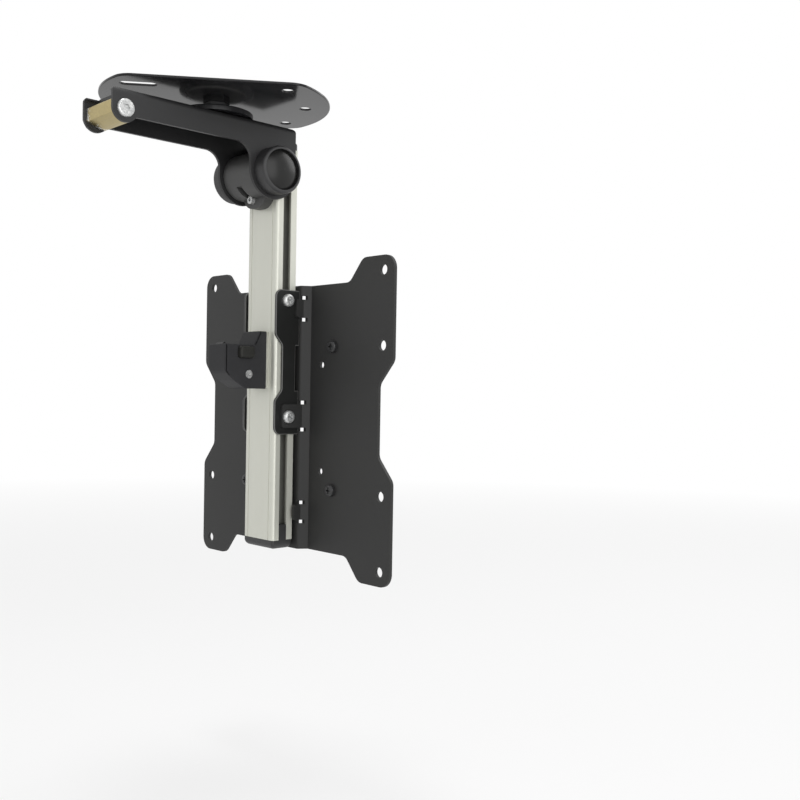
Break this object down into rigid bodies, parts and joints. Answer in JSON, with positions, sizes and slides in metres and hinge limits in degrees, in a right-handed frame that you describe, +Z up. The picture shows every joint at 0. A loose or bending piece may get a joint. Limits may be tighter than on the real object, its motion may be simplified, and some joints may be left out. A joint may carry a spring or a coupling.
{
  "type": "tv ceiling mount",
  "caption": "Folding ceiling mount: swivel plate, drop arm, hinged slotted mast with a latch, and a sliding hat-section screen plate with lobed corners.",
  "frame": {"origin": "on the swivel axis, in the ceiling plane (the plate's top face)", "axes": "+Z up to the ceiling, +Y towards the screen, +X to the right when looking along +Y; the mast hangs plumb"},
  "size_m": [0.2212, 0.1651, 0.3252],
  "materials": {
    "gloss_black": "gloss black paint",
    "satin_black": "satin black powder coat",
    "barrel_grey": "dark grey cast and coated",
    "mast_alloy": "satin anodised",
    "striker_brass": "yellow passivated",
    "zinc_steel": "bright zinc",
    "black_screws": "black oxide",
    "cap_black": "fine matt moulding",
    "dome_gloss": "polished moulding",
    "latch_black": "matt moulding",
    "button_black": "matt moulding",
    "pawl_steel": "blackened steel",
    "nylon": "natural nylon"
  },
  "bodies": {
    "ceiling": {"ceiling_plate": "gloss_black", "swivel_pin": "black_screws", "swivel_spacer": "black_screws", "swivel_washer": "nylon", "thrust_washer": "black_screws", "swivel_spring": "black_screws", "swivel_nut": "black_screws"},
    "arm": {"arm_channel": "satin_black", "swivel_disc": "satin_black", "striker_block": "striker_brass", "striker_bolt": "zinc_steel", "striker_nut": "zinc_steel", "hinge_cap_near": "cap_black", "hinge_cap_far": "cap_black", "dome_plug_near": "dome_gloss", "dome_plug_far": "dome_gloss", "hinge_bolt": "zinc_steel", "hinge_nut": "zinc_steel"},
    "mast": {"hinge_barrel": "barrel_grey", "tongue_screw": "zinc_steel", "barrel_bolt": "zinc_steel", "mast_profile": "mast_alloy", "mast_top_cap": "cap_black", "mast_foot_cap": "cap_black", "slot_stops": "cap_black", "latch_bracket": "zinc_steel", "bracket_screws": "zinc_steel", "latch_housing": "latch_black", "latch_screw": "zinc_steel"},
    "carriage": {"screen_plate": "satin_black", "guide_plate_near": "satin_black", "guide_plate_far": "satin_black", "slot_nuts": "zinc_steel", "guide_screws": "zinc_steel", "slide_pads": "nylon", "screen_screws": "black_screws"},
    "button": {"latch_button": "button_black"},
    "pawl": {"latch_pawl": "pawl_steel"}
  },
  "joints": [
    {"name": "swivel", "type": "hinge", "parent": "ceiling", "child": "arm", "pos_m": [0, 0, -0.0115], "axis": [0, 0, 1], "continuous": true},
    {"name": "mast_fold", "type": "hinge", "parent": "arm", "child": "mast", "pos_m": [0, 0.0343, -0.0448], "axis": [-1, 0, 0], "range_deg": [-15, 90]},
    {"name": "carriage_slide", "type": "slide", "parent": "mast", "child": "carriage", "axis": [0, 0, 1], "range_m": [-0.064, 0.058]},
    {"name": "button_press", "type": "slide", "parent": "mast", "child": "button", "axis": [-1, 0, 0], "range_m": [0, 0.0025], "stiffness_N_per_m": 400, "springref_m": -0.002},
    {"name": "pawl_drop", "type": "slide", "parent": "mast", "child": "pawl", "axis": [0, 0, -1], "range_m": [0, 0.0025]}
  ],
  "couplings": [
    {"joint": "pawl_drop", "follows": "button_press", "ratio": 1}
  ]
}
